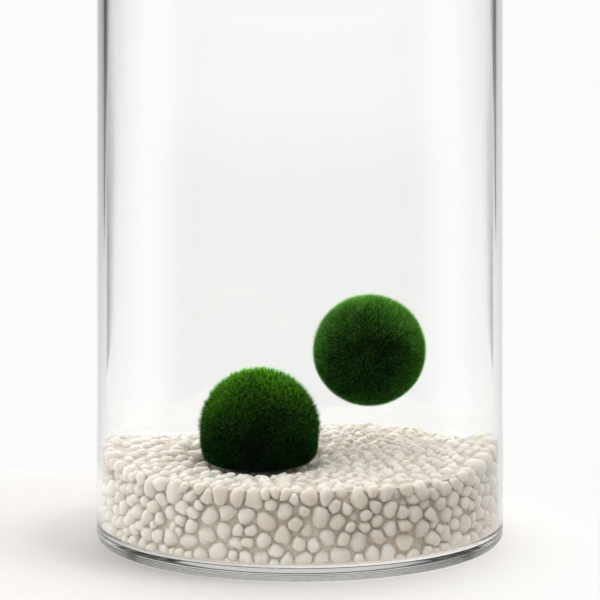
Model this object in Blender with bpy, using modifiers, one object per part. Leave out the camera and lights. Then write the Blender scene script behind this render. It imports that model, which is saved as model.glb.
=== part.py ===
# Two moss balls in a straight glass jar: one rests on a bed of pebbles, one floats in the water above.
# Units are metres and +Z is up. The origin is the middle of the jar's underside, on the surface it stands on.

import math

import bmesh
import bpy
from mathutils import Matrix, Vector

PARTS_COLLECTION = "moss_balls_in_jar"
CUTTERS_COLLECTION = "hollow_cutters"
CLEARANCE = 0.0003

# Jar
JAR_RADIUS = 0.060
JAR_HEIGHT = 0.200
WALL_THICKNESS = 0.0028
BASE_THICKNESS = 0.003
FOOT_ROUNDING = 0.003
WELL_ROUNDING = 0.0025
RIM_ROUNDING = 0.0009
JAR_SEGMENTS = 64
CORNER_STEPS = 4

# Pebble bed: its level, and mounds given as (x, y, height, spread)
BED_LEVEL = 0.0230
BED_MOUNDS = (
    (0.0235, 0.049, 0.0044, 0.039),
    (-0.062, -0.006, 0.0064, 0.030),
    (0.059, -0.007, 0.0075, 0.026),
    (-0.019, 0.016, 0.0039, 0.030),
)
BED_RINGS = 9
DIMPLE_FLOOR = 0.0210
DIMPLE_RADIUS = 0.0145
DIMPLE_EDGE = 0.007

# Moss balls
RESTING_PLACE = (-0.0114, -0.012, 0.032)
RESTING_RADIUS = 0.01695
RESTING_CROWN = 0.0179
RESTING_SAG = 0.0107
RESTING_SQUARENESS = 4.2
FLOATING_PLACE = (0.0204, 0.004, 0.0542)
FLOATING_RADIUS = 0.0171
BALL_SEGMENTS = 32
BALL_STEPS = 6

# Water
WATER_SURFACE = 0.185
NECK_RADIUS = 0.00075
SKIRT_RADIUS = 0.011

BORE_RADIUS = JAR_RADIUS - WALL_THICKNESS
FILL_RADIUS = BORE_RADIUS - CLEARANCE
QUARTER_TURN = math.pi / 2


def clear_scene():
    for thing in list(bpy.data.objects):
        bpy.data.objects.remove(thing, do_unlink=True)


def add_collection(name):
    collection = bpy.data.collections.new(name)
    bpy.context.scene.collection.children.link(collection)
    return collection


def add_material(name, color, roughness, transmission=0.0, ior=1.45):
    material = bpy.data.materials.new(name)
    material.use_nodes = True
    shader = material.node_tree.nodes["Principled BSDF"]
    shader.inputs["Base Color"].default_value = (*color, 1.0)
    shader.inputs["Roughness"].default_value = roughness
    shader.inputs["Metallic"].default_value = 0.0
    shader.inputs["Transmission Weight"].default_value = transmission
    shader.inputs["IOR"].default_value = ior
    material.diffuse_color = (*color, 1.0 - 0.7 * transmission)
    return material


def add_object(name, mesh, collection, material=None):
    thing = bpy.data.objects.new(name, mesh)
    collection.objects.link(thing)
    if material:
        mesh.materials.append(material)
    return thing


def turned_object(name, profile, place, segments, collection, material=None):
    """A solid of revolution. The profile is (radius, height) points, from the axis round to the axis."""
    mesh = bpy.data.meshes.new(name)
    points = [(radius, 0.0, height) for radius, height in profile]
    mesh.from_pydata(points, [(i, i + 1) for i in range(len(points) - 1)], [])
    thing = add_object(name, mesh, collection, material)
    thing.location = place
    screw = thing.modifiers.new("turn", "SCREW")
    screw.axis = "Z"
    screw.angle = 2 * math.pi
    screw.steps = segments
    screw.render_steps = segments
    screw.use_merge_vertices = True
    screw.merge_threshold = 0.00001
    screw.use_smooth_shade = True
    return thing


def arc(centre_radius, centre_height, radius, start, end, steps):
    """Points on a quarter or other arc in the profile's plane, both ends included."""
    angles = [start + (end - start) * i / steps for i in range(steps + 1)]
    return [
        (centre_radius + radius * math.cos(a), centre_height + radius * math.sin(a))
        for a in angles
    ]


def jar_profile():
    """Inner floor, bore, rim, outer wall and foot, in that order."""
    well = arc(
        BORE_RADIUS - WELL_ROUNDING,
        BASE_THICKNESS + WELL_ROUNDING,
        WELL_ROUNDING,
        -QUARTER_TURN,
        0.0,
        CORNER_STEPS,
    )
    inner_lip = arc(
        BORE_RADIUS + RIM_ROUNDING,
        JAR_HEIGHT - RIM_ROUNDING,
        RIM_ROUNDING,
        2 * QUARTER_TURN,
        QUARTER_TURN,
        CORNER_STEPS - 1,
    )
    outer_lip = arc(
        JAR_RADIUS - RIM_ROUNDING,
        JAR_HEIGHT - RIM_ROUNDING,
        RIM_ROUNDING,
        QUARTER_TURN,
        0.0,
        CORNER_STEPS - 1,
    )
    foot = arc(
        JAR_RADIUS - FOOT_ROUNDING,
        FOOT_ROUNDING,
        FOOT_ROUNDING,
        0.0,
        -QUARTER_TURN,
        CORNER_STEPS,
    )
    return [(0.0, BASE_THICKNESS), *well, *inner_lip, *outer_lip, *foot, (0.0, 0.0)]


def resting_profile(growth=0.0):
    """A domed crown over a sagging, flat-bottomed lower half, as heights about the widest line."""
    radius = RESTING_RADIUS + growth
    crown = RESTING_CROWN + growth
    sag = RESTING_SAG + growth
    power = 2 / RESTING_SQUARENESS
    angles = [QUARTER_TURN * i / BALL_STEPS for i in range(BALL_STEPS + 1)]
    upper = [(radius * math.sin(a), crown * math.cos(a)) for a in angles]
    lower = [
        (radius * math.cos(a) ** power, -sag * math.sin(a) ** power)
        for a in angles[1:-1]
    ]
    upper[0] = (0.0, crown)
    return [*upper, *lower, (0.0, -sag)]


def resting_hollow_profile():
    """The resting ball's hollow, which runs straight down through the water's underside."""
    ball = [point for point in resting_profile(CLEARANCE) if point[1] > 0 or point[0] > SKIRT_RADIUS]
    below_bed = DIMPLE_FLOOR - RESTING_PLACE[2] - WELL_ROUNDING
    return [*ball, (SKIRT_RADIUS, ball[-1][1]), (SKIRT_RADIUS, below_bed), (0.0, below_bed)]


def floating_profile(growth=0.0):
    radius = FLOATING_RADIUS + growth
    ball = arc(0.0, 0.0, radius, QUARTER_TURN, -QUARTER_TURN, 2 * BALL_STEPS)
    return [(0.0, radius), *ball[1:-1], (0.0, -radius)]


def smooth_step(value):
    value = min(max(value, 0.0), 1.0)
    return value * value * (3 - 2 * value)


def bed_height(x, y):
    """The height of the pebbles' tips over a point of the floor."""
    height = BED_LEVEL
    for mound_x, mound_y, rise, spread in BED_MOUNDS:
        distance = math.hypot(x - mound_x, y - mound_y)
        height += rise * math.exp(-((distance / spread) ** 2))
    from_ball = math.hypot(x - RESTING_PLACE[0], y - RESTING_PLACE[1])
    outside = smooth_step((from_ball - DIMPLE_RADIUS) / DIMPLE_EDGE)
    return DIMPLE_FLOOR + (height - DIMPLE_FLOOR) * outside


def add_bed_sheet(shape, lift):
    """A round sheet of triangles that follows the bed's height. Returns its rim edges."""
    spokes = [shape.verts.new((FILL_RADIUS * i / BED_RINGS, 0, 0)) for i in range(BED_RINGS + 1)]
    lines = [shape.edges.new(pair) for pair in zip(spokes, spokes[1:])]
    bmesh.ops.spin(
        shape,
        geom=spokes + lines,
        cent=(0, 0, 0),
        axis=(0, 0, 1),
        angle=2 * math.pi,
        steps=JAR_SEGMENTS,
        use_merge=True,
    )
    bmesh.ops.remove_doubles(shape, verts=shape.verts, dist=0.00001)
    bmesh.ops.triangulate(shape, faces=shape.faces, quad_method="FIXED")
    for vertex in shape.verts:
        vertex.co.z = bed_height(vertex.co.x, vertex.co.y) + lift
    return [edge for edge in shape.edges if edge.is_boundary]


def extrude_rim(shape, rim):
    """Extrudes a rim and returns the new rim's vertices and edges."""
    made = bmesh.ops.extrude_edge_only(shape, edges=rim)["geom"]
    vertices = [item for item in made if isinstance(item, bmesh.types.BMVert)]
    edges = [item for item in made if isinstance(item, bmesh.types.BMEdge) and item.is_boundary]
    return vertices, edges


def close_solid(shape, rim, name):
    """Caps the last rim, turns the faces outwards and returns the mesh."""
    bmesh.ops.contextual_create(shape, geom=rim)
    bmesh.ops.recalc_face_normals(shape, faces=shape.faces)
    mesh = bpy.data.meshes.new(name)
    shape.to_mesh(mesh)
    shape.free()
    mesh.shade_smooth()
    mesh.set_sharp_from_angle(angle=math.radians(35))
    return mesh


def make_pebble_bed(collection):
    """The pebbles as one solid that reaches their tips, rounded at the foot to fit the jar's well."""
    name = "pebble_bed"
    shape = bmesh.new()
    rim = add_bed_sheet(shape, 0.0)
    corner = arc(
        FILL_RADIUS - WELL_ROUNDING,
        BASE_THICKNESS + CLEARANCE + WELL_ROUNDING,
        WELL_ROUNDING,
        0.0,
        -QUARTER_TURN,
        CORNER_STEPS,
    )
    for radius, height in corner:
        vertices, rim = extrude_rim(shape, rim)
        for vertex in vertices:
            direction = Vector((vertex.co.x, vertex.co.y, 0)).normalized()
            vertex.co = direction * radius + Vector((0, 0, height))
    mesh = close_solid(shape, rim, name)
    return add_object(name, mesh, collection, add_material("pebble", (0.72, 0.66, 0.57), 0.8))


def make_water(parts, cutters):
    """Water from the pebbles' tips to its surface, with a hollow for each ball.

    A fine neck joins the hollows, so that neither is sealed: the lower one is open underneath.
    """
    name = "water"
    shape = bmesh.new()
    rim = add_bed_sheet(shape, CLEARANCE)
    vertices, rim = extrude_rim(shape, rim)
    for vertex in vertices:
        vertex.co.z = WATER_SURFACE
    mesh = close_solid(shape, rim, name)
    material = add_material("water", (0.94, 0.97, 0.96), 0.02, transmission=1.0, ior=1.33)
    water = add_object(name, mesh, parts, material)
    hollows = (
        turned_object("resting_hollow", resting_hollow_profile(), RESTING_PLACE, BALL_SEGMENTS, cutters),
        make_neck(cutters),
        turned_object("floating_hollow", floating_profile(CLEARANCE), FLOATING_PLACE, BALL_SEGMENTS, cutters),
    )
    for hollow in hollows:
        hollow.hide_render = True
        hollow.display_type = "WIRE"
        cut = water.modifiers.new(hollow.name, "BOOLEAN")
        cut.operation = "DIFFERENCE"
        cut.solver = "EXACT"
        cut.object = hollow
    return water


def make_neck(cutters):
    """A thin rod from inside one ball's hollow to inside the other's."""
    lower = Vector(RESTING_PLACE)
    upper = Vector(FLOATING_PLACE)
    way = upper - lower
    turn = way.to_track_quat("Z", "Y").to_matrix().to_4x4()
    shape = bmesh.new()
    bmesh.ops.create_cone(
        shape,
        cap_ends=True,
        segments=8,
        radius1=NECK_RADIUS,
        radius2=NECK_RADIUS,
        depth=way.length - FLOATING_RADIUS,
        matrix=Matrix.Translation((lower + upper) / 2) @ turn,
    )
    mesh = bpy.data.meshes.new("neck")
    shape.to_mesh(mesh)
    shape.free()
    return add_object("neck", mesh, cutters)


def main():
    clear_scene()
    parts = add_collection(PARTS_COLLECTION)
    cutters = add_collection(CUTTERS_COLLECTION)
    glass = add_material("glass", (0.96, 0.98, 0.97), 0.02, transmission=1.0, ior=1.5)
    dark_moss = add_material("dark_moss", (0.010, 0.045, 0.006), 0.95)
    bright_moss = add_material("bright_moss", (0.025, 0.095, 0.018), 0.95)
    jar = turned_object("glass_jar", jar_profile(), (0, 0, 0), JAR_SEGMENTS, parts, glass)
    jar.data.name = "glass_jar"
    make_pebble_bed(parts)
    turned_object("resting_moss_ball", resting_profile(), RESTING_PLACE, BALL_SEGMENTS, parts, dark_moss)
    turned_object("floating_moss_ball", floating_profile(), FLOATING_PLACE, BALL_SEGMENTS, parts, bright_moss)
    make_water(parts, cutters)
    cutters.hide_render = True


main()
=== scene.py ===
import math

import bmesh
import bpy
import numpy as np
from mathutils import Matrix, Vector
from mathutils.bvhtree import BVHTree
from mathutils.kdtree import KDTree


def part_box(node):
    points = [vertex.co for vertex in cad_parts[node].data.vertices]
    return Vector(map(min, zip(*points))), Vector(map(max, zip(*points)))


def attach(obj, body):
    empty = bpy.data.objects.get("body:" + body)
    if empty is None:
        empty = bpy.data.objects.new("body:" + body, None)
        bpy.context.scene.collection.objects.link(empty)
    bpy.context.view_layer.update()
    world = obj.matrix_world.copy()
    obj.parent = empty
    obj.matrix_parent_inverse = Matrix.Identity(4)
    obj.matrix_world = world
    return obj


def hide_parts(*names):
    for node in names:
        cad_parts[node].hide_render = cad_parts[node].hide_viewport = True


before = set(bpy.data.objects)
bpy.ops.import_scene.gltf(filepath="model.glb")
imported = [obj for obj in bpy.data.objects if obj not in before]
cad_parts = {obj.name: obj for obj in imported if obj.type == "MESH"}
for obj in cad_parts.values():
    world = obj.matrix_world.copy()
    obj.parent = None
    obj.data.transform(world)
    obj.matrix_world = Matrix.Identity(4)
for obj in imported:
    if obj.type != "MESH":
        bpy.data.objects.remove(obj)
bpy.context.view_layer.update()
mm = 0.001


# Shader helpers: a Wire is one socket that takes part in sums, and Shader builds one material

class Wire:
    def __init__(self, tree, socket):
        self.tree = tree
        self.socket = socket

    def maths(self, operation, first, second=0.0):
        node = self.tree.nodes.new("ShaderNodeMath")
        node.operation = operation
        joinSocket(self.tree, node.inputs[0], first)
        joinSocket(self.tree, node.inputs[1], second)
        return Wire(self.tree, node.outputs[0])

    def __add__(self, other):
        return self.maths("ADD", self, other)

    def __sub__(self, other):
        return self.maths("SUBTRACT", self, other)

    def __mul__(self, other):
        return self.maths("MULTIPLY", self, other)

    def __radd__(self, other):
        return self.maths("ADD", other, self)

    def __rsub__(self, other):
        return self.maths("SUBTRACT", other, self)

    def __rmul__(self, other):
        return self.maths("MULTIPLY", other, self)

    def __abs__(self):
        return self.maths("ABSOLUTE", self)

    def larger(self, other):
        return self.maths("MAXIMUM", self, other)

    def smaller(self, other):
        return self.maths("MINIMUM", self, other)

    def ramp(self, low, high):
        # 0 at low, 1 at high, eased at both ends
        node = self.tree.nodes.new("ShaderNodeMapRange")
        node.interpolation_type = "SMOOTHSTEP"
        joinSocket(self.tree, node.inputs["Value"], self)
        node.inputs["From Min"].default_value = low
        node.inputs["From Max"].default_value = high
        return Wire(self.tree, node.outputs[0])


def joinSocket(tree, slot, value):
    if isinstance(value, Wire):
        tree.links.new(value.socket, slot)
    elif slot.type == "RGBA" and len(value) == 3:
        slot.default_value = (*value, 1.0)
    else:
        slot.default_value = value


class Shader:
    def __init__(self, owner):
        owner.use_nodes = True
        self.tree = owner.node_tree
        self.tree.nodes.clear()

    def node(self, kind, settings=None, sockets=None, out=0):
        # adds one node: its settings first, then its sockets, and hands back one output
        made = self.tree.nodes.new(kind)
        for name, value in (settings or {}).items():
            if name == "stops":
                self.fillRamp(made.color_ramp, value)
            else:
                setattr(made, name, value)
        for name, value in (sockets or {}).items():
            joinSocket(self.tree, made.inputs[name], value)
        return Wire(self.tree, made.outputs[out]) if made.outputs else None

    def fillRamp(self, ramp, stops):
        while len(ramp.elements) < len(stops):
            ramp.elements.new(0.5)
        for element, (place, colour) in zip(ramp.elements, stops):
            element.position = place
            element.color = (*colour, 1.0)

    def mixColours(self, factor, first, second, blend="MIX"):
        settings = {"data_type": "RGBA", "blend_type": blend}
        return self.node("ShaderNodeMix", settings, {0: factor, 6: first, 7: second}, out=2)

    def places(self, scale=(1, 1, 1)):
        # the piece's own coordinates in metres, stretched by scale
        at = self.node("ShaderNodeTexCoord", out=3)
        return self.node("ShaderNodeMapping", None, {"Vector": at, "Scale": scale})

    def noise(self, scale, detail=3.0, stretch=(1, 1, 1), roughness=0.5):
        sockets = {"Vector": self.places(stretch), "Scale": scale, "Detail": detail, "Roughness": roughness}
        return self.node("ShaderNodeTexNoise", None, sockets)

    def finish(self, surface, volume=None):
        sockets = {"Surface": surface} if volume is None else {"Surface": surface, "Volume": volume}
        self.node("ShaderNodeOutputMaterial", None, sockets)


def newMaterial(name):
    material = bpy.data.materials.new(name)
    return material, Shader(material)


def addPiece(name, mesh, material, replaced):
    # a finished piece: it rides on the one body and stands for a node of the frame
    mesh.materials.append(material)
    piece = bpy.data.objects.new(name, mesh)
    bpy.context.scene.collection.objects.link(piece)
    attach(piece, "root")
    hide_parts(replaced)


def spinProfile(name, profile, segments):
    # turns (radius, height) points about Z into a closed, smooth mesh
    shape = bmesh.new()
    points = [shape.verts.new((radius, 0, height)) for radius, height in profile]
    lines = [shape.edges.new(pair) for pair in zip(points, points[1:])]
    bmesh.ops.spin(
        shape, geom=points + lines, cent=(0, 0, 0), axis=(0, 0, 1),
        angle=2 * math.pi, steps=segments, use_merge=True,
    )
    bmesh.ops.remove_doubles(shape, verts=shape.verts, dist=0.002 * mm)
    bmesh.ops.recalc_face_normals(shape, faces=shape.faces)
    mesh = bpy.data.meshes.new(name)
    shape.to_mesh(mesh)
    shape.free()
    mesh.shade_smooth()
    return mesh


def arcPoints(centre, radius, start, end, steps):
    # (radius, height) points on an arc given in degrees, both ends included
    angles = [math.radians(start + (end - start) * i / steps) for i in range(steps + 1)]
    return [(centre[0] + radius * math.cos(a), centre[1] + radius * math.sin(a)) for a in angles]


# Camera: level, square on, a little over the pebbles

camera = {"distance": 322 * mm, "height": 69.6 * mm, "lens": 64.3}


def addCamera():
    data = bpy.data.cameras.new("camera")
    data.lens = camera["lens"]
    data.sensor_width = 36
    data.clip_start = 0.01
    data.clip_end = 50
    eye = bpy.data.objects.new("camera", data)
    eye.location = (0, -camera["distance"], camera["height"])
    eye.rotation_euler = (math.radians(90), 0, 0)
    bpy.context.scene.collection.objects.link(eye)
    bpy.context.scene.camera = eye


addCamera()
print("camera set")


# The jar

jarLow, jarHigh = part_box("glass_jar")
jar = {
    "radius": jarHigh.x,
    "height": jarHigh.z,
    "wall": 2.8 * mm,
    "base": 3.0 * mm,
    "footRounding": 3.0 * mm,
    "wellRounding": 2.5 * mm,
    "rimRounding": 0.9 * mm,
    "segments": 240,
    "ior": 1.5,
    "sheen": 0.28,
    "tint": (0.999, 0.998, 0.994),
    "absorbs": (6.0, (0.19, 0.22, 0.19)),    # per metre, and the colour that is spared
}
bore = jar["radius"] - jar["wall"]


def jarProfile():
    # inner floor, well, bore, rim, wall and foot, with a spare ring where a flat meets a round
    easing = 0.4 * mm
    well, rim, foot = jar["wellRounding"], jar["rimRounding"], jar["footRounding"]
    wellCentre = (bore - well, jar["base"] + well)
    innerRim = (bore + rim, jar["height"] - rim)
    outerRim = (jar["radius"] - rim, jar["height"] - rim)
    footCentre = (jar["radius"] - foot, foot)
    return [
        (0, jar["base"]),
        (wellCentre[0] - easing, jar["base"]),
        *arcPoints(wellCentre, well, -90, 0, 10),
        (bore, wellCentre[1] + easing),
        (bore, innerRim[1] - easing),
        *arcPoints(innerRim, rim, 180, 90, 6),
        *arcPoints(outerRim, rim, 90, 0, 6),
        (jar["radius"], outerRim[1] - easing),
        (jar["radius"], footCentre[1] + easing),
        *arcPoints(footCentre, foot, 0, -90, 10),
        (footCentre[0] - easing, 0),
        (0, 0),
    ]


def letLightThrough(shader, surface):
    # lamps and soft light pass straight through clear things, so what they hold is lit cleanly
    path = shader.node("ShaderNodeLightPath", out="Is Shadow Ray")
    soft = shader.node("ShaderNodeLightPath", out="Is Diffuse Ray")
    clear = shader.node("ShaderNodeBsdfTransparent")
    return shader.node("ShaderNodeMixShader", None, {0: path.larger(soft), 1: surface, 2: clear})


def glassMaterial():
    material, shader = newMaterial("glass")
    # a drawn wall is never quite even: long faint ripples run up it
    ripple = shader.noise(55.0, 2.0, stretch=(1, 1, 0.06))
    smear = shader.noise(30.0, 4.0)
    bump = shader.node("ShaderNodeBump", None, {"Strength": 0.06, "Distance": 0.0004, "Height": ripple})
    surface = shader.node("ShaderNodeBsdfPrincipled", None, {
        "Base Color": jar["tint"],
        "Roughness": smear.ramp(0.55, 0.85) * 0.02,
        "IOR": jar["ior"],
        "Specular IOR Level": jar["sheen"],
        "Transmission Weight": 1.0,
        "Normal": bump,
    })
    density, spared = jar["absorbs"]
    depth = shader.node("ShaderNodeVolumeAbsorption", None, {"Color": spared, "Density": density})
    shader.finish(letLightThrough(shader, surface), depth)
    return material


jarMesh = spinProfile("jar", jarProfile(), jar["segments"])
addPiece("jar", jarMesh, glassMaterial(), "glass_jar")
print("jar made")


# The water

water = {
    "gap": 0.05 * mm,          # between it and the glass
    "wetHeight": 31.5 * mm,    # below this it wets the glass, so the pebbles show right across the wall
    "wetOverlap": 0.05 * mm,
    "meniscusRise": 1.3 * mm,
    "meniscusReach": 2.4 * mm,
    "segments": 160,
    "ior": 1.03,
    "tint": (0.995, 1.0, 0.998),
    "level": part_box("water")[1].z,
    "coatDepth": (2.2 * mm, 1.5 * mm),    # below the level, where the surface's own shine starts and is full
    "coatIor": 1.33,
}


def waterProfile():
    # a still surface that creeps up the glass, over a body that fills the jar to its floor
    edge = bore - water["gap"]
    floor = jar["base"] + water["gap"]
    well = jar["wellRounding"]
    rise = water["meniscusRise"]
    reach = water["meniscusReach"]
    level = water["level"] - rise
    steps = 8
    creep = [(edge - reach * (1 - i / steps), level + rise * (i / steps) ** 3) for i in range(steps + 1)]
    wet = bore + water["wetOverlap"]
    easing, taper, spare = 3 * mm, 1 * mm, 0.5 * mm
    return [
        (0, level),
        (edge - reach - easing, level),
        *creep,
        (edge, water["wetHeight"]),
        (wet, water["wetHeight"] - taper),
        (wet, floor + well + spare),
        *arcPoints((wet - well, floor + well), well, 0, -90, 8),
        (0, floor),
    ]


def waterMaterial():
    material, shader = newMaterial("water")
    height = shader.node("ShaderNodeSeparateXYZ", None, {"Vector": shader.places()}, out="Z")
    top = height.ramp(*[water["level"] - depth for depth in water["coatDepth"]])
    swell = shader.noise(60.0, 1.0)
    bump = shader.node("ShaderNodeBump", None, {"Strength": 0.1, "Distance": 0.0005, "Height": swell})
    surface = shader.node("ShaderNodeBsdfPrincipled", None, {
        "Base Color": water["tint"],
        "Roughness": 0.0,
        "IOR": water["ior"],
        "Transmission Weight": 1.0,
        "Coat Weight": top,
        "Coat Roughness": 0.02,
        "Coat IOR": water["coatIor"],
        "Normal": bump,
    })
    shader.finish(letLightThrough(shader, surface))
    return material


waterMesh = spinProfile("water_body", waterProfile(), water["segments"])
addPiece("water_body", waterMesh, waterMaterial(), "water")
print("water made")


# The pebbles

pebbles = {
    "seed": 7,
    "smallest": 1.0 * mm,     # radii before each grows into the room round it
    "largest": 3.0 * mm,
    "usual": 1.8 * mm,
    "spread": 0.32,
    "fill": 0.63,              # share of the bed's room that they take
    "rounds": 140,
    "push": 0.42,              # share of an overlap that one round takes away
    "growth": 1.42,            # the most that one may outgrow its radius
    "longest": 1.45,           # length and flatness against a round one
    "flattest": 0.74,
    "wallGap": 0.06 * mm,
    "wallStray": 0.7 * mm,     # some sit back from the glass and below the bed's top
    "topStray": 0.9 * mm,
    "squareness": (4.0, 12.0),  # low is round, high has flatter sides
    "lumps": 0.12,
    "lumpReach": 1.5,
    "waxiness": 0.8,
    "glowReach": (2.6 * mm, 2.2 * mm, 1.7 * mm),
    "coreInset": 2.4 * mm,     # grit packs the middle of the bed, this far in from the glass
    "coreDepth": 1.2 * mm,     # and this far under the tips on top
    "coreFloor": 0.6 * mm,
    "coreRings": [3 * mm] + [6 * mm] * 7,    # steps inward from its rim, where its top bends
    "hiddenDepth": 8.5 * mm,   # nothing shows this far in from the glass and under the top
    "hiddenFloor": 5 * mm,
}


def treeOf(node):
    # a frame node as a tree of faces that rays can be sent at
    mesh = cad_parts[node].data
    corners = [v.co.copy() for v in mesh.vertices]
    return BVHTree.FromPolygons(corners, [tuple(p.vertices) for p in mesh.polygons])


def bedTop(tree, spots):
    # height of the pebbles' tips over each (x, y)
    above = 100 * mm
    usual = 20 * mm
    found = np.empty(len(spots))
    for i, (x, y) in enumerate(spots):
        hit = tree.ray_cast(Vector((x, y, above)), Vector((0, 0, -1)))[0]
        found[i] = hit.z if hit else usual
    return found


class BedMap:
    # the bed's height on a square grid, read smoothly in between
    def __init__(self, tree, cells=96):
        self.reach = bore - 0.6 * mm
        self.cells = cells
        axis = np.linspace(-self.reach, self.reach, cells)
        xs, ys = np.meshgrid(axis, axis, indexing="ij")
        far = np.maximum(np.hypot(xs, ys) / self.reach, 1.0)
        spots = np.stack([(xs / far).ravel(), (ys / far).ravel()], 1) * 0.995
        self.heights = bedTop(tree, spots).reshape(cells, cells)

    def __call__(self, places):
        at = (places[:, :2] / self.reach + 1) / 2 * (self.cells - 1)
        at = at.clip(0, self.cells - 1.001)
        low = at.astype(int)
        share = at - low
        i, j = low.T
        u, v = share.T
        grid = self.heights
        near = grid[i, j] * (1 - v) + grid[i, j + 1] * v
        far = grid[i + 1, j] * (1 - v) + grid[i + 1, j + 1] * v
        return near * (1 - u) + far * u


def scatterPebbles(random, bed):
    # radii and first places, enough of them to fill the bed
    floor = jar["base"]
    room = math.pi * bore ** 2 * (bed.heights.mean() - floor)
    low, high, usual = pebbles["smallest"], pebbles["largest"], pebbles["usual"]
    radii = (usual * np.exp(random.normal(0, pebbles["spread"], 6000))).clip(low, high)
    volumes = np.cumsum(4 / 3 * math.pi * radii ** 3)
    radii = radii[: int(np.searchsorted(volumes, room * pebbles["fill"]))]
    count = len(radii)
    around = random.uniform(0, 2 * math.pi, count)
    out = np.sqrt(random.uniform(0, 1, count)) * (bore - low)
    places = np.stack([out * np.cos(around), out * np.sin(around), np.zeros(count)], 1)
    places[:, 2] = floor + radii + random.uniform(0, 1, count) * (bed(places) - floor - 2 * radii)
    return places, radii


def closePairs(places, radii, slack):
    # each pair of pebbles less than slack apart, once
    firsts, seconds = [], []
    for start in range(0, len(places), 500):
        block = slice(start, start + 500)
        apart = np.linalg.norm(places[block, None] - places[None], axis=2)
        near = apart < radii[block, None] + radii[None] + slack
        i, j = np.nonzero(near)
        keep = i + start < j
        firsts.append(i[keep] + start)
        seconds.append(j[keep])
    return np.concatenate(firsts), np.concatenate(seconds)


def keepInJar(places, radii, bed, stray):
    # pushes each pebble back from the glass, the floor, the well's corner and the top of the bed
    room = bore - pebbles["wallGap"] - radii - stray[0]
    out = np.hypot(places[:, 0], places[:, 1])
    places[:, :2] *= np.minimum(1, room / np.maximum(out, 1e-9))[:, None]
    places[:, 2] = np.minimum(places[:, 2], bed(places) - radii - stray[1])
    places[:, 2] = np.maximum(places[:, 2], jar["base"] + pebbles["wallGap"] + radii)
    out = np.hypot(places[:, 0], places[:, 1])
    reach = cornerReach() - (out - places[:, 2]) * math.sqrt(0.5) - radii
    short = np.minimum(reach, 0) * math.sqrt(0.5)
    places[:, :2] *= (1 + short / np.maximum(out, 1e-9))[:, None]
    places[:, 2] -= short


def cornerReach():
    # how far the well's rounded corner lies along a slope of 45 degrees
    well = jar["wellRounding"]
    return (bore - well - jar["base"] - well) * math.sqrt(0.5) + well - pebbles["wallGap"]


def settlePebbles(places, radii, bed, random):
    # pushes overlapping pebbles apart, a little at a time, until the bed is packed
    count = len(radii)
    limits = np.array([[pebbles["wallStray"]], [pebbles["topStray"]]])
    stray = random.uniform(0, 1, (2, count)) ** 3 * limits
    pairsLast = 10     # rounds until the close pairs are found again
    slack = 0.8 * mm   # pairs this near may meet before then
    for turn in range(pebbles["rounds"]):
        if turn % pairsLast == 0:
            first, second = closePairs(places, radii, slack)
        way = places[first] - places[second]
        apart = np.maximum(np.linalg.norm(way, axis=1), 1e-9)
        push = np.maximum(radii[first] + radii[second] - apart, 0) * pebbles["push"] / apart
        moved = way * push[:, None]
        for axis in range(3):
            places[:, axis] += np.bincount(first, moved[:, axis], count)
            places[:, axis] -= np.bincount(second, moved[:, axis], count)
        keepInJar(places, radii, bed, stray)
    return places


def pebbleBlank():
    # a ball of 54 quads: a cube cut in three each way and blown up
    shape = bmesh.new()
    bmesh.ops.create_cube(shape, size=2)
    bmesh.ops.subdivide_edges(shape, edges=shape.edges, cuts=2, use_grid_fill=True)
    shape.verts.ensure_lookup_table()
    for vertex in shape.verts:
        # the tangent evens out the squares before they are blown up
        vertex.co = Vector([math.tan(c * math.pi / 4) for c in vertex.co]).normalized()
    points = np.array([v.co[:] for v in shape.verts])
    faces = np.array([[v.index for v in face.verts] for face in shape.faces])
    shape.free()
    return points, faces


def wavesOver(points, random, count, reach):
    # a smooth random value from about -1 to 1 at each point, with swells about reach long
    ways = random.normal(0, 1, (count, 3))
    ways /= np.linalg.norm(ways, axis=1)[:, None]
    turns = points @ ways.T * (2 * math.pi / reach) + random.uniform(0, 2 * math.pi, count)
    return np.sin(turns).sum(1) / math.sqrt(count)


def shapePebbles(places, radii, forms, chosen, bed, random):
    # each pebble swells until it meets flats shared with its neighbours, which rounds it off unevenly
    blank, faces = pebbleBlank()
    reach = 2.6 * mm
    thinnest = 0.5     # of a pebble's radius, to a neighbour's side
    first, second = closePairs(places, radii, reach)
    both = np.concatenate([first, second])
    other = np.concatenate([second, first])
    order = np.argsort(both, kind="stable")
    both, other = both[order], other[order]
    starts = np.searchsorted(both, np.arange(len(radii) + 1))
    tops = bed(places)
    made = []
    for i in chosen:
        near = other[starts[i]:starts[i + 1]]
        way = places[near] - places[i]
        apart = np.linalg.norm(way, axis=1)
        ways = way / apart[:, None]
        mine = halfWidths(forms[i], ways)
        theirs = np.linalg.norm(np.einsum("nij,nj->ni", forms[near], ways), axis=1)
        flats = apart * mine / (mine + theirs)
        ways, flats = addWalls(places[i], tops[i], ways, flats)
        flats = np.maximum(flats, thinnest * radii[i])
        limits = pebbles["growth"] / np.linalg.norm(blank @ np.linalg.inv(forms[i]).T, axis=1)
        shape = places[i] + swollen(blank, ways, flats, limits, random)
        shape[:, 2] -= max(0, shape[:, 2].max() - tops[i])
        made.append(shape)
    return np.concatenate(made), faces, len(blank)


def randomForms(radii, random):
    # a matrix for each pebble that stretches and turns a unit ball into its oval
    count = len(radii)
    low, high = pebbles["flattest"], pebbles["longest"]
    stretch = np.stack([
        random.uniform(1.0, high, count),
        random.uniform(low, 1.1, count),
        random.uniform(low, 1.0, count),
    ], 1)
    stretch /= np.cbrt(stretch.prod(1))[:, None]
    turns = np.linalg.qr(random.normal(0, 1, (count, 3, 3)))[0]
    return turns * (stretch * radii[:, None])[:, None, :] @ turns.transpose(0, 2, 1)


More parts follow.
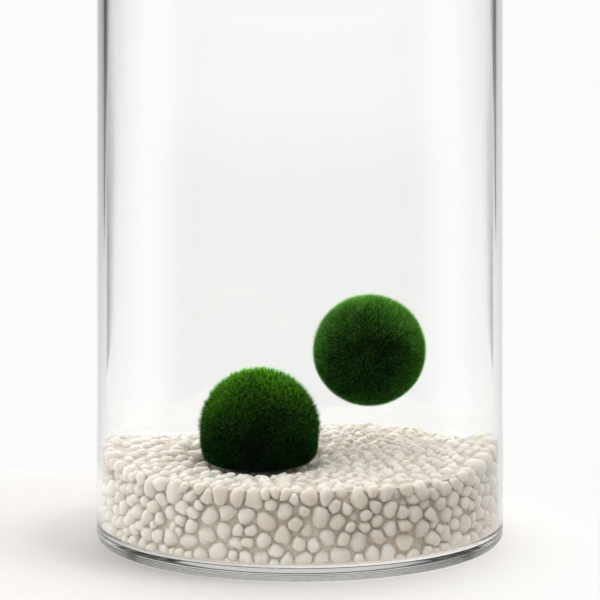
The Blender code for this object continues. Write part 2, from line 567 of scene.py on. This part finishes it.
def halfWidths(form, ways):
    # how far an oval reaches towards each way
    return np.linalg.norm(ways @ form.T, axis=1)


def addWalls(place, top, ways, flats):
    # the glass, the floor, the well's corner and the top of the bed as more flats
    out = math.hypot(place[0], place[1])
    outward = np.array([place[0] / out, place[1] / out, 0])
    slope = (outward - (0, 0, 1)) * math.sqrt(0.5)
    gap = pebbles["wallGap"]
    above = 1.5 * mm
    more = [
        (outward, bore - gap - out),
        ((0, 0, -1), place[2] - jar["base"] - gap),
        (slope, cornerReach() - (out - place[2]) * math.sqrt(0.5)),
        ((0, 0, 1), top - place[2] + above),
    ]
    ways = np.concatenate([ways, [way for way, reach in more]])
    flats = np.concatenate([flats, [reach for way, reach in more]])
    return ways, flats


def swollen(blank, ways, flats, limits, random):
    # the outline in every direction of the blank, inside all the flats and touching at least one
    power = random.uniform(*pebbles["squareness"])
    most = 1.12     # times its outline, to reach the nearest flat
    facing = np.maximum(blank @ ways.T, 0)
    stops = (facing / flats) ** power
    reach = (stops.sum(1) + limits ** -power) ** (-1 / power)
    reach *= 1 + pebbles["lumps"] * wavesOver(blank, random, 5, pebbles["lumpReach"])
    touch = (facing * reach[:, None] / flats).max()
    return blank * (reach / max(touch, 1e-6) * min(1.0, touch * most))[:, None]


def meshOfCopies(name, points, faces, pointsEach):
    # one mesh of many closed shapes that share one pattern of faces
    copies = len(points) // pointsEach
    loops = (faces[None] + np.arange(copies)[:, None, None] * pointsEach).reshape(-1, faces.shape[1])
    mesh = bpy.data.meshes.new(name)
    mesh.vertices.add(len(points))
    mesh.vertices.foreach_set("co", points.astype(np.float32).ravel())
    mesh.loops.add(loops.size)
    mesh.loops.foreach_set("vertex_index", loops.astype(np.int32).ravel())
    mesh.polygons.add(len(loops))
    mesh.polygons.foreach_set("loop_start", np.arange(0, loops.size, faces.shape[1], dtype=np.int32))
    mesh.update(calc_edges=True)
    mesh.shade_smooth()
    return mesh


def addAttribute(mesh, name, values):
    layer = mesh.attributes.new(name, "FLOAT", "POINT")
    layer.data.foreach_set("value", values.astype(np.float32))


def pebbleMaterial():
    material, shader = newMaterial("pebble")
    tone = shader.node("ShaderNodeAttribute", {"attribute_name": "tone"}, out="Fac")
    stone = shader.node("ShaderNodeValToRGB", {"stops": [
        (0.0, (0.70, 0.642, 0.568)),
        (0.45, (0.75, 0.707, 0.643)),
        (1.0, (0.80, 0.771, 0.72)),
    ]}, {"Fac": tone})
    cloud = shader.noise(420.0, 3.0)
    grain = shader.noise(2600.0, 3.0, roughness=0.6)
    clouded = shader.mixColours(cloud.ramp(0.35, 0.75) * 0.30, stone, (0.70, 0.62, 0.52))
    speckled = shader.mixColours(grain.ramp(0.60, 0.72) * 0.20, clouded, (0.58, 0.49, 0.38))
    height = grain * 0.35 + cloud
    bump = shader.node("ShaderNodeBump", None, {"Strength": 0.35, "Distance": 0.0003, "Height": height})
    surface = shader.node("ShaderNodeBsdfPrincipled", None, {
        "Base Color": speckled,
        "Roughness": 0.62 + cloud * 0.25,
        "IOR": 1.4,
        "Subsurface Weight": pebbles["waxiness"],
        "Subsurface Radius": pebbles["glowReach"],
        "Subsurface Scale": 1.0,
        "Normal": bump,
    })
    shader.finish(surface)
    return material


def makePebbles(bed):
    random = np.random.default_rng(pebbles["seed"])
    places, radii = scatterPebbles(random, bed)
    places = settlePebbles(places, radii, bed, random)
    out = np.hypot(places[:, 0], places[:, 1])
    fromTop = bed(places) - places[:, 2]
    deep = pebbles["hiddenDepth"]
    hidden = (bore - out > deep) & (fromTop > deep) & (places[:, 2] - jar["base"] > pebbles["hiddenFloor"])
    chosen = np.nonzero(~hidden)[0]
    forms = randomForms(radii, random)
    material = pebbleMaterial()
    # from front to back, so each piece is one half of the bed
    chosen = chosen[np.argsort(places[chosen, 1])]
    for name, half in zip(("pebbles_front", "pebbles_back"), np.array_split(chosen, 2)):
        points, faces, each = shapePebbles(places, radii, forms, half, bed, random)
        mesh = meshOfCopies(name, points, faces, each)
        tones = random.uniform(0, 1, len(half)) * 0.75 + random.uniform(0, 0.25)
        addAttribute(mesh, "tone", np.repeat(tones, each))
        addPiece(name, mesh, material, "pebble_bed")
        print(name, len(half), "pebbles")


def gritMaterial():
    material, shader = newMaterial("grit")
    grain = shader.noise(1800.0, 4.0, roughness=0.7)
    colour = shader.mixColours(grain.ramp(0.3, 0.7), (0.58, 0.50, 0.40), (0.80, 0.74, 0.64))
    bump = shader.node("ShaderNodeBump", None, {"Strength": 0.8, "Distance": 0.0005, "Height": grain})
    surface = shader.node("ShaderNodeBsdfPrincipled", None, {
        "Base Color": colour,
        "Roughness": 0.8 + grain * 0.15,
        "Specular IOR Level": 0.2,
        "Normal": bump,
    })
    shader.finish(surface)
    return material


def makeGrit(bed):
    # the bed's middle, which closes the gaps between the pebbles that show
    radius = bore - pebbles["coreInset"]
    shape = bmesh.new()
    bmesh.ops.create_cone(
        shape, cap_ends=True, segments=96, radius1=radius, radius2=radius, depth=10 * mm,
    )
    lid = [face for face in shape.faces if face.normal.z > 0.5]
    for step in pebbles["coreRings"]:
        bmesh.ops.inset_region(shape, faces=lid, thickness=step, use_even_offset=True)
    bmesh.ops.poke(shape, faces=lid)
    for vertex in shape.verts:
        if vertex.co.z < 0:
            vertex.co.z = jar["base"] + pebbles["coreFloor"]
        else:
            vertex.co.z = bed(np.array([vertex.co[:]]))[0] - pebbles["coreDepth"]
    bmesh.ops.recalc_face_normals(shape, faces=shape.faces)
    mesh = bpy.data.meshes.new("pebble_grit")
    shape.to_mesh(mesh)
    shape.free()
    addPiece("pebble_grit", mesh, gritMaterial(), "pebble_bed")


bedMap = BedMap(treeOf("pebble_bed"))
makePebbles(bedMap)
makeGrit(bedMap)
print("grit made")


# The moss balls

mossBalls = {
    "resting": {
        "node": "resting_moss_ball",
        "slot": "dark_moss",
        "seed": 21,
        "sag": 10.7 * mm,          # from its widest line down to its underside
        "squareness": 4.2,         # of its lower half, where 2 is round
        "filaments": 74000,
        "tufts": 10000,
        "length": 2.3 * mm,
        "thickness": 0.15 * mm,
        "gather": 0.28,            # how far tips are drawn to the middle of their tuft
        "stray": 0.45,
        "swirl": 0.15,
        "lift": 0.30,
        "proud": 1.45 * mm,        # how far the longest filaments pass the frame's ball
        "uneven": 1.15 * mm,       # between tufts
        "ragged": 1.6 * mm,        # between filaments
        "raggedness": 2.6,         # higher leaves fewer long ones
        "tips": (1.14, 0.90, 0.42),
        "paintedTopLight": 0.42,          # how much paler it gets upwards: painted light from above
        "toneAt": -0.06,           # its filaments' tone on the whole, up or down
        "bubbles": 170,
    },
    "floating": {
        "node": "floating_moss_ball",
        "slot": "bright_moss",
        "seed": 22,
        "sag": 17.1 * mm,
        "squareness": 2.0,
        "filaments": 74000,
        "tufts": 9000,
        "length": 3.4 * mm,
        "thickness": 0.15 * mm,
        "gather": 0.30,
        "stray": 0.25,
        "swirl": 0.17,
        "lift": 0.0,
        "proud": 0.35 * mm,
        "uneven": 0.30 * mm,
        "ragged": 1.15 * mm,
        "raggedness": 2.0,
        "tips": (1.45, 1.02, 1.50),
        "paintedTopLight": 0.12,
        "toneAt": 0.03,
        "bubbles": 12,
    },
}
moss = {
    "perPiece": 40000,
    "pressed": 0.12,           # share of the unevenness that is left underneath
    "swell": 0.10 * mm,
    "heartDepth": 0.72,        # of a filament's length, under the skin
    "heartLumps": 0.02,
    "bubbleRadii": (0.08 * mm, 0.17 * mm),
    "bubbleDepth": (0.3 * mm, 0.9 * mm),
    # a filament's colour from root to tip: the near-black root is painted shade from deep in the fur, the
    # pale tip painted rim light
    "root": (0.0008, 0.006, 0.0008),
    "body": (0.003, 0.045, 0.004),
    "tip": (0.19, 0.52, 0.10),
    "glow": 0.75,
}


def evenWays(count, random):
    # directions spread evenly over a ball on a golden spiral, each a little off its place
    index = np.arange(count) + 0.5
    height = 1 - 2 * index / count
    around = index * math.pi * (3 - math.sqrt(5))
    ring = np.sqrt(1 - height ** 2)
    ways = np.stack([ring * np.cos(around), ring * np.sin(around), height], 1)
    ways += random.normal(0, 1.3 / math.sqrt(count), ways.shape)
    return ways / np.linalg.norm(ways, axis=1)[:, None]


def ballSize(ball):
    # the middle of a ball's widest line, its radius, and how far it goes up and down from there
    low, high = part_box(ball["node"])
    middle = (low + high) / 2
    centre = np.array([middle.x, middle.y, low.z + ball["sag"]])
    return centre, (high.x - low.x) / 2, high.z - centre[2]


def skinReach(ball, ways):
    # how far the ball's skin is from its centre each way: a dome over a squarer lower half
    centre, radius, crown = ballSize(ball)
    out = np.hypot(ways[:, 0], ways[:, 1]) / radius
    upper = ways[:, 2] > 0
    rise = np.abs(ways[:, 2]) / np.where(upper, crown, ball["sag"])
    power = np.where(upper, 2.0, ball["squareness"])
    return (out ** power + rise ** power) ** (-1 / power)


def unit(vectors):
    return vectors / np.maximum(np.linalg.norm(vectors, axis=1), 1e-12)[:, None]


def nearestTuft(ways, tuftWays):
    finder = KDTree(len(tuftWays))
    for i, way in enumerate(tuftWays):
        finder.insert(way, i)
    finder.balance()
    return np.array([finder.find(way)[1] for way in ways])


def swirlOver(ways, random, reach):
    # a smooth sideways drift at each point of the ball
    drift = np.stack([wavesOver(ways, random, 6, reach) for axis in range(3)], 1)
    return drift - ways * (drift * ways).sum(1)[:, None]


def combFilaments(ball, random):
    # roots, tips and tones of all the filaments of one ball
    centre = ballSize(ball)[0]
    count = ball["filaments"]
    ways = evenWays(count, random)
    tuftWays = evenWays(ball["tufts"], random)
    tuft = nearestTuft(ways, tuftWays)
    upright = np.clip((ways[:, 2] + 0.35) / 0.6, 0, 1)     # pressed smooth underneath
    rise = random.uniform(0, 1, ball["tufts"])[tuft] * ball["uneven"]
    reachOut = random.uniform(0, 1, count) ** ball["raggedness"]
    rise += reachOut * ball["ragged"]
    furthest = ball["uneven"] + ball["ragged"] * 0.9
    swell = moss["swell"] * wavesOver(ways, random, 6, 1.3)
    reach = skinReach(ball, ways) + ball["proud"] * upright + swell * upright
    reach += (rise - furthest) * (moss["pressed"] + (1 - moss["pressed"]) * upright)
    swirl = swirlOver(ways, random, 0.9) * ball["swirl"]
    swirl += swirlOver(ways, random, 0.35) * ball["swirl"] * 0.5
    stray = random.normal(0, 1, (count, 3)) * ball["stray"] * 0.35
    lift = np.array([0, 0, ball["lift"]]) * np.maximum(ways[:, 2:3] + 0.2, 0)
    lean = ways + swirl + stray + lift
    length = ball["length"] * random.uniform(0.75, 1.0, count)
    tips = centre + ways * reach[:, None]
    gathered = centre + tuftWays[tuft] * reach[:, None]
    roots = tips - unit(lean) * length[:, None]
    tips += (gathered - tips) * ball["gather"]
    tuftTone = random.uniform(0, 1, ball["tufts"])[tuft]
    # painted rim light: the ones that reach furthest are made the palest, standing in for the back light on
    # the fringe; the top of the ball is made paler too, as painted light from above
    tone = 0.18 * tuftTone + 0.15 * random.uniform(0, 1, count) + 0.05 + 0.40 * reachOut
    tone += wavesOver(ways, random, 7, 0.8) * 0.025
    # painted light: filaments are made paler upwards, as light from above would make them
    tone += ball["paintedTopLight"] * np.maximum(ways[:, 2], -0.3) + ball["toneAt"]
    return roots, tips, tone.clip(0.02, 0.98)


def spikeBlank():
    # a closed three-sided spike one unit long, from a cone
    shape = bmesh.new()
    bmesh.ops.create_cone(shape, cap_ends=True, segments=3, radius1=0.5, radius2=0, depth=1)
    bmesh.ops.translate(shape, verts=shape.verts, vec=(0, 0, 0.5))
    bmesh.ops.remove_doubles(shape, verts=shape.verts, dist=1e-5)
    bmesh.ops.triangulate(shape, faces=shape.faces)
    bmesh.ops.recalc_face_normals(shape, faces=shape.faces)
    shape.verts.index_update()
    points = np.array([v.co[:] for v in shape.verts])
    faces = np.array([[v.index for v in face.verts] for face in shape.faces])
    shape.free()
    return points, faces


def growSpikes(name, roots, tips, tones, thickness, random):
    # one mesh of closed spikes from each root to its tip
    blank, faces = spikeBlank()
    along = tips - roots
    side = unit(np.cross(along, random.normal(0, 1, along.shape)))
    across = unit(np.cross(along, side))
    width = thickness * random.uniform(0.7, 1.25, len(roots))
    points = (
        roots[:, None]
        + along[:, None] * blank[None, :, 2:3]
        + side[:, None] * blank[None, :, 0:1] * width[:, None, None]
        + across[:, None] * blank[None, :, 1:2] * width[:, None, None]
    )
    mesh = meshOfCopies(name, points.reshape(-1, 3), faces, len(blank))
    addToneMap(mesh, blank, faces, tones)
    return mesh


def addToneMap(mesh, blank, faces, tones):
    # a map whose U is the filament's tone and whose V runs from root to tip, clear of the map's edges
    spread = 0.006
    corners = blank[faces.ravel()]
    across = tones[:, None] + corners[None, :, 0] * 2 * spread
    upward = np.broadcast_to(corners[None, :, 2], across.shape) * 0.98 + 0.01
    layer = mesh.uv_layers.new(name="OFBake")
    layer.uv.foreach_set("vector", np.stack([across, upward], 2).astype(np.float32).ravel())


def mossMaterial(name, tips):
    material, shader = newMaterial(name)
    onMap = shader.node("ShaderNodeUVMap", {"uv_map": "OFBake"})
    tone = shader.node("ShaderNodeSeparateXYZ", None, {"Vector": onMap}, out="X")
    along = shader.node("ShaderNodeSeparateXYZ", None, {"Vector": onMap}, out="Y")
    # painted shade and light: near black towards the root, where the fur shades itself, and pale towards the
    # tip, which rims the ball with light
    length = shader.node("ShaderNodeValToRGB", {"stops": [
        (0.20, moss["root"]),
        (0.45, moss["body"]),
        (0.85, moss["tip"]),
    ]}, {"Fac": along})
    shade = shader.node("ShaderNodeValToRGB", {"stops": [
        (0.0, (0.02, 0.10, 0.05)),
        (0.33, (0.11, 0.33, 0.19)),
        (0.65, tips),
        (1.0, tuple(c * 2.0 for c in tips)),
    ]}, {"Fac": tone})
    colour = shader.mixColours(1.0, length, shade, "MULTIPLY")
    strand = shader.node("ShaderNodeBsdfPrincipled", None, {
        "Base Color": colour,
        "Roughness": 0.75 - tone * 0.2,
        "IOR": 1.35,
        "Specular IOR Level": 0.15,
    })
    # the strands let light through from behind; the factors over one pass on more light than reaches them, a
    # painted rim light
    glow = shader.mixColours(1.0, colour, (2.3, 2.1, 1.7), "MULTIPLY")
    lit = shader.node("ShaderNodeBsdfTranslucent", None, {"Color": glow})
    clearness = along.ramp(0.30, 0.80) * moss["glow"] + 0.10
    shader.finish(shader.node("ShaderNodeMixShader", None, {0: clearness, 1: strand, 2: lit}))
    return material


def heartMaterial():
    # the tangle under the filaments, near black: painted shade for the deep inside of the fur
    material, shader = newMaterial("moss_heart")
    tangle = shader.noise(900.0, 5.0, roughness=0.7)
    colour = shader.mixColours(tangle.ramp(0.35, 0.7), (0.001, 0.005, 0.001), (0.006, 0.024, 0.004))
    bump = shader.node("ShaderNodeBump", None, {"Strength": 0.8, "Distance": 0.0006, "Height": tangle})
    surface = shader.node("ShaderNodeBsdfPrincipled", None, {
        "Base Color": colour,
        "Roughness": 0.9 - tangle * 0.15,
        "Specular IOR Level": 0.1,
        "Normal": bump,
    })
    shader.finish(surface)
    return material


def makeHeart(name, ball, depth, random):
    # a lumpy ball just inside the roots
    shape = bmesh.new()
    bmesh.ops.create_icosphere(shape, subdivisions=4, radius=1)
    ways = np.array([v.co[:] for v in shape.verts])
    reach = skinReach(ball, ways) - depth
    reach *= 1 + moss["heartLumps"] * wavesOver(ways, random, 8, 0.35)
    centre = Vector(ballSize(ball)[0])
    for vertex, distance in zip(shape.verts, reach):
        vertex.co = centre + vertex.co * distance
    mesh = bpy.data.meshes.new(name)
    shape.to_mesh(mesh)
    shape.free()
    mesh.shade_smooth()
    return mesh


def bubbleMaterial():
    material, shader = newMaterial("bubbleAndGlint")
    # the beads are real, but their pale green colour is a painted highlight, standing in for the glint of a
    # clear bubble
    cloud = shader.noise(500.0, 1.0)
    surface = shader.node("ShaderNodeBsdfPrincipled", None, {
        "Base Color": shader.mixColours(cloud, (0.10, 0.26, 0.09), (0.22, 0.42, 0.20)),
        "Roughness": 0.25 + cloud * 0.1,
        "IOR": 1.33,
    })
    shader.finish(surface)
    return material


def addBubbles(name, ball, material, random):
    # tiny beads of gas that cling among the filaments, most of them high up
    shape = bmesh.new()
    bmesh.ops.create_icosphere(shape, subdivisions=1, radius=1)
    blank = np.array([v.co[:] for v in shape.verts])
    faces = np.array([[v.index for v in face.verts] for face in shape.faces])
    shape.free()
    ways = evenWays(ball["bubbles"] * 2, random)
    ways = ways[random.permutation(len(ways))]
    ways = ways[ways[:, 2] > random.normal(0.1, 0.35, len(ways))]
    reach = skinReach(ball, ways) - random.uniform(*moss["bubbleDepth"], len(ways))
    places = ballSize(ball)[0] + ways * reach[:, None]
    radii = random.uniform(*moss["bubbleRadii"], len(ways))
    points = places[:, None] + blank[None] * radii[:, None, None]
    mesh = meshOfCopies(name, points.reshape(-1, 3), faces, len(blank))
    addPiece(name, mesh, material, ball["node"])


def makeMossBall(title, ball, material, heart, bubbleAndGlint):
    random = np.random.default_rng(ball["seed"])
    depth = ball["length"] * moss["heartDepth"]
    core = makeHeart(f"{title}_moss_heart", ball, depth, random)
    addPiece(f"{title}_moss_heart", core, heart, ball["node"])
    roots, tips, tones = combFilaments(ball, random)
    count = math.ceil(len(roots) / moss["perPiece"])
    for number, share in enumerate(np.array_split(random.permutation(len(roots)), count), 1):
        name = f"{title}_moss_filaments_{number}"
        mesh = growSpikes(name, roots[share], tips[share], tones[share], ball["thickness"], random)
        addPiece(name, mesh, material, ball["node"])
    addBubbles(f"{title}_moss_bubbles", ball, bubbleAndGlint, random)
    print(title, "moss ball:", len(roots), "filaments")


heart = heartMaterial()
bubbleAndGlint = bubbleMaterial()
for title, ball in mossBalls.items():
    makeMossBall(title, ball, mossMaterial(ball["slot"], ball["tips"]), heart, bubbleAndGlint)


# The stage: a pale floor that melts into a white surround, and soft studio light

stage = {
    "floorRadius": 0.6,
    "floorMiddle": (-45 * mm, 5 * mm),    # the floor melts away round this point
    "floorFull": 84 * mm,
    "floorGone": 150 * mm,
    "floorDrop": 0.1 * mm,
    "floorTint": (0.500, 0.492, 0.481),
    "paintedGlowUnderJar": 0.36,                    # painted light: the floor glows under the jar, in place of what a clear base would pipe there
    "white": (0.965, 0.962, 0.958),
    "warm": (0.985, 0.915, 0.82),
    "dim": 0.20,                          # soft light on matt things, from its darkest side
    "bright": 1.34,                       # to its brightest
    "keyWay": (-0.50, 0.0, 0.86),         # which is this way
    "behind": 1.75,                       # more of it from behind, which rims the moss with light
    "room": 1.10,                         # what glass shows, where there is no card
    "edgeGrey": 0.60,                     # how much less of that the glass mirrors at its sides
    # the degrees off the back where each card starts and where it is full, and its depth
    "softCard": (7.0, 33.0, 0.46),
    "darkFront": (84.0, 112.0, 0.985),
    "darkCard": (34.9, 20.0, 0.86),       # a narrow one: its start, how it widens upwards, its depth
    "lampPower": 9.0,
    "lampSize": 0.7,
    "lampPlace": (0.72, -0.16, 0.60),
    "lampAim": (0, 0, 0.04),
    "lampTint": (1.0, 0.985, 0.96),
}


def floorMaterial():
    material, shader = newMaterial("floor")
    away = shader.node("ShaderNodeVectorMath", {"operation": "SUBTRACT"}, {
        0: shader.places(), 1: (*stage["floorMiddle"], 0),
    })
    distance = shader.node("ShaderNodeVectorMath", {"operation": "LENGTH"}, {0: away}, out=1)
    paper = shader.noise(25.0, 5.0)
    tint = stage["floorTint"]
    mottled = shader.mixColours(paper * 0.02, tint, tuple(c * 0.9 for c in tint))
    fromAxis = shader.node("ShaderNodeVectorMath", {"operation": "LENGTH"}, {0: shader.places()}, out=1)
    # painted light: a disc of floor under the jar glows, as if lit through the base
    under = 1 - fromAxis.ramp(jar["radius"] - 5 * mm, jar["radius"] - 1 * mm)
    surface = shader.node("ShaderNodeBsdfPrincipled", None, {
        "Base Color": mottled,
        "Roughness": 0.7,
        "Specular IOR Level": 0.2,
        "Emission Color": shader.mixColours(under, (0, 0, 0), (1.0, 0.98, 0.95)),
        "Emission Strength": stage["paintedGlowUnderJar"],
    })
    clear = shader.node("ShaderNodeBsdfTransparent")
    fade = distance.ramp(stage["floorFull"], stage["floorGone"])
    shader.finish(shader.node("ShaderNodeMixShader", None, {0: fade, 1: surface, 2: clear}))
    return material


def addFloor():
    shape = bmesh.new()
    bmesh.ops.create_circle(shape, cap_ends=True, cap_tris=True, segments=96, radius=stage["floorRadius"])
    bmesh.ops.translate(shape, verts=shape.verts, vec=(0, 0, -stage["floorDrop"]))
    mesh = bpy.data.meshes.new("floor")
    shape.to_mesh(mesh)
    shape.free()
    mesh.materials.append(floorMaterial())
    floor = bpy.data.objects.new("floor", mesh)
    bpy.context.scene.collection.objects.link(floor)
    return floor


def addSurround():
    # soft light for matt things, and for the glass a white room with cards at the back and a dark front
    world = bpy.data.worlds.new("surround")
    bpy.context.scene.world = world
    shader = Shader(world)
    way = shader.node("ShaderNodeTexCoord", out=0)
    key = Vector(stage["keyWay"]).normalized()
    facing = shader.node("ShaderNodeVectorMath", {"operation": "DOT_PRODUCT"}, {0: way, 1: key}, out=1)
    x, y, z = [
        shader.node("ShaderNodeSeparateXYZ", None, {"Vector": way}, out=axis) for axis in ("X", "Y", "Z")
    ]
    light = facing.ramp(-0.7, 0.9) * (stage["bright"] - stage["dim"]) + stage["dim"]
    light = light + y.ramp(0.0, 0.8) * stage["behind"]
    angle = x.maths("ARCTAN2", abs(x), y) * (180 / math.pi)    # degrees off the back, to either side
    nearest, furthest, depth = stage["softCard"]
    leftness = 1 - x.ramp(-0.1, 0.1) * 0.5
    soft = angle.ramp(nearest, furthest) * (1 - angle.ramp(60, 90)) * depth
    soft = soft * (z * 2.5 + 0.4).larger(0).smaller(1.1) * leftness
    nearest, slope, depth = stage["darkCard"]
    furthest = z * slope + nearest + 1.5 + z.ramp(0.15, 0.30) * 5
    dark = angle.ramp(nearest - 0.7, nearest + 0.7)
    dark = dark * ((furthest - angle) * 0.7 + 0.5).larger(0).smaller(1)
    dark = dark * z.ramp(0.03, 0.09) * (1 - z.ramp(0.75, 0.9)) * depth
    nearest, furthest, depth = stage["darkFront"]
    front = angle.ramp(nearest, furthest) * z.ramp(-0.235, -0.215) * (1 - z.ramp(0.10, 0.20)) * depth
    room = (1 - soft) * (1 - dark) * (1 - front) * stage["room"]
    inGlass = shader.node("ShaderNodeLightPath", out="Is Transmission Ray")
    mirrored = shader.node("ShaderNodeLightPath", out="Is Glossy Ray")
    direct = shader.node("ShaderNodeLightPath", out="Is Camera Ray")
    onGlass = mirrored * (1 - inGlass)
    room = room * (1 - onGlass * angle.ramp(14, 30) * stage["edgeGrey"])
    inGlass = inGlass.larger(mirrored)
    level = inGlass * room + (1 - inGlass) * light
    level = direct + (1 - direct) * level
    # what the matt things get from low in front is warmer
    warm = (1 - direct.larger(inGlass)) * (1 - facing.ramp(-0.5, 0.7))
    colour = shader.mixColours(warm, stage["white"], stage["warm"])
    sky = shader.node("ShaderNodeBackground", None, {"Color": colour, "Strength": level})
    shader.node("ShaderNodeOutputWorld", None, {"Surface": sky})


def addKeyLight(floor):
    # this lamp lights the floor alone, to lay the jar's soft shadow on it
    data = bpy.data.lights.new("key", "AREA")
    data.shape = "DISK"
    data.size = stage["lampSize"]
    data.energy = stage["lampPower"]
    data.color = stage["lampTint"]
    lamp = bpy.data.objects.new("key", data)
    lamp.location = stage["lampPlace"]
    aim = Vector(stage["lampAim"]) - lamp.location
    lamp.rotation_euler = aim.to_track_quat("-Z", "Y").to_euler()
    lamp.visible_glossy = False
    bpy.context.scene.collection.objects.link(lamp)
    lit = bpy.data.collections.new("lit_by_key")
    lit.objects.link(floor)
    lamp.light_linking.receiver_collection = lit


floor = addFloor()
addSurround()
addKeyLight(floor)
scene = bpy.context.scene
scene.view_settings.view_transform = "Standard"
scene.view_settings.look = "None"
scene.cycles.max_bounces = 24
scene.cycles.transmission_bounces = 16
scene.cycles.glossy_bounces = 16
scene.cycles.diffuse_bounces = 6
scene.cycles.transparent_max_bounces = 24
scene.cycles.use_denoising = True
print("stage set")
